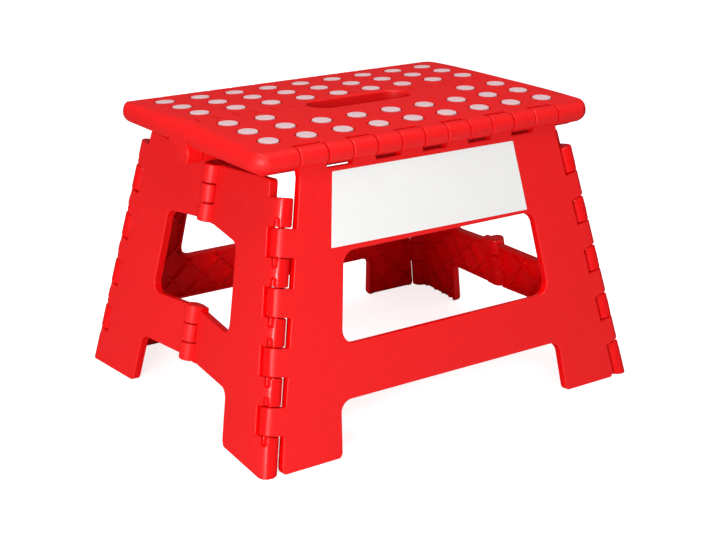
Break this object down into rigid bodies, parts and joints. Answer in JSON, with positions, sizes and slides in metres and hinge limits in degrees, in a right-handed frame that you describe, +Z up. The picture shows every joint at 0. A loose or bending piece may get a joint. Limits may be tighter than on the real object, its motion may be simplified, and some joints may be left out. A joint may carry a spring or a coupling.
{
  "type": "folding step stool",
  "caption": "Low folding step stool of moulded plastic: a ribbed two-half top over hinged side panels and two-part ends that fold flat by a handle slot.",
  "frame": {"origin": "on the floor, under the middle of the open stool's box", "axes": "+X along the long side and the middle seam, +Y from the front side panel to the back one, +Z up from the floor"},
  "size_m": [0.3334, 0.2738, 0.2174],
  "materials": {
    "moulded_plastic": "satin moulded polypropylene, red",
    "grip_rubber": "matt soft rubber, pale pinkish grey",
    "pin_steel": "drawn wire",
    "label_film": "white film, bare"
  },
  "bodies": {
    "side_front": {"side_front": "moulded_plastic", "label": "label_film"},
    "top_front": {"top_front": "moulded_plastic", "pin_centre_left": "pin_steel", "pin_centre_right": "pin_steel", "pin_edge_front": "pin_steel", "grip_front_inner_left": "grip_rubber", "grip_front_inner_right": "grip_rubber", "grip_front_middle": "grip_rubber", "grip_front_outer": "grip_rubber"},
    "top_back": {"top_back": "moulded_plastic", "pin_edge_back": "pin_steel", "grip_back_inner": "grip_rubber", "grip_back_middle": "grip_rubber", "grip_back_outer": "grip_rubber"},
    "side_back": {"side_back": "moulded_plastic"},
    "end_left_front": {"end_left_front": "moulded_plastic"},
    "end_left_back": {"end_left_back": "moulded_plastic", "pin_middle_left_upper": "pin_steel", "pin_middle_left_lower": "pin_steel"},
    "end_right_front": {"end_right_front": "moulded_plastic", "pin_middle_right_upper": "pin_steel", "pin_middle_right_lower": "pin_steel"},
    "end_right_back": {"end_right_back": "moulded_plastic"}
  },
  "joints": [
    {"name": "centre_fold", "type": "hinge", "parent": "top_front", "child": "top_back", "pos_m": [0, 0, 0.195], "axis": [-1, 0, 0], "range_deg": [0, 180]},
    {"name": "edge_front", "type": "hinge", "parent": "side_front", "child": "top_front", "pos_m": [0, -0.098, 0.2064], "axis": [1, 0, 0], "range_deg": [0, 80.55]},
    {"name": "edge_back", "type": "hinge", "parent": "top_back", "child": "side_back", "pos_m": [0, 0.098, 0.2064], "axis": [1, 0, 0], "range_deg": [0, 80.55]},
    {"name": "corner_left_front", "type": "hinge", "parent": "side_front", "child": "end_left_front", "pos_m": [-0.1598, -0.13003, 0], "axis": [-0.1981, -0.1702, -0.9653], "range_deg": [0, 87.5]},
    {"name": "corner_left_back", "type": "hinge", "parent": "side_back", "child": "end_left_back", "pos_m": [-0.1598, 0.13003, 0], "axis": [0.1981, -0.1702, 0.9653], "range_deg": [0, 87.5]},
    {"name": "corner_right_front", "type": "hinge", "parent": "side_front", "child": "end_right_front", "pos_m": [0.1598, -0.13003, 0], "axis": [-0.1981, 0.1702, 0.9653], "range_deg": [0, 87.5]},
    {"name": "corner_right_back", "type": "hinge", "parent": "side_back", "child": "end_right_back", "pos_m": [0.1598, 0.13003, 0], "axis": [0.1981, 0.1702, -0.9653], "range_deg": [0, 87.5]}
  ],
  "couplings": [
    {"joint": "edge_front", "follows": "centre_fold", "ratio": 0.4475},
    {"joint": "edge_back", "follows": "centre_fold", "ratio": 0.4475},
    {"joint": "corner_left_front", "follows": "centre_fold", "ratio": 0.48611},
    {"joint": "corner_left_back", "follows": "centre_fold", "ratio": 0.48611},
    {"joint": "corner_right_front", "follows": "centre_fold", "ratio": 0.48611},
    {"joint": "corner_right_back", "follows": "centre_fold", "ratio": 0.48611}
  ]
}
